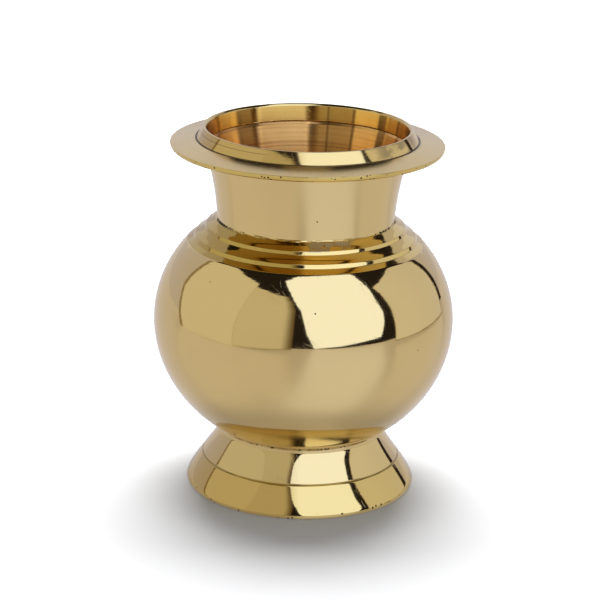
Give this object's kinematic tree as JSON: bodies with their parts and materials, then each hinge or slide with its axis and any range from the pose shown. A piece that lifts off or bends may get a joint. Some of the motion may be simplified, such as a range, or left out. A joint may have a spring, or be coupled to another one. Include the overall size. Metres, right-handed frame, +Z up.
{
  "type": "kalash ritual pot",
  "caption": "Small polished brass ritual pot with a round belly, waisted neck, broad flange round a raised lip, and a hollow flared foot.",
  "frame": {"origin": "centre of the foot's rim, on the surface that the pot stands on", "axes": "+Z up along the pot's axis; the pot is round, so X and Y are free"},
  "size_m": [0.08, 0.08, 0.0982],
  "materials": {
    "polished_brass": "mirror polished, with fine turning lines, scratches and small pits",
    "braze_filler": "rough and pitted filler metal"
  },
  "bodies": {
    "root": {"mouth_ring": "polished_brass", "neck_tube": "polished_brass", "shoulder": "polished_brass", "bowl": "polished_brass", "foot": "polished_brass", "mouth_braze": "braze_filler", "neck_braze": "braze_filler", "belly_braze": "braze_filler", "foot_braze": "braze_filler"}
  },
  "joints": []
}
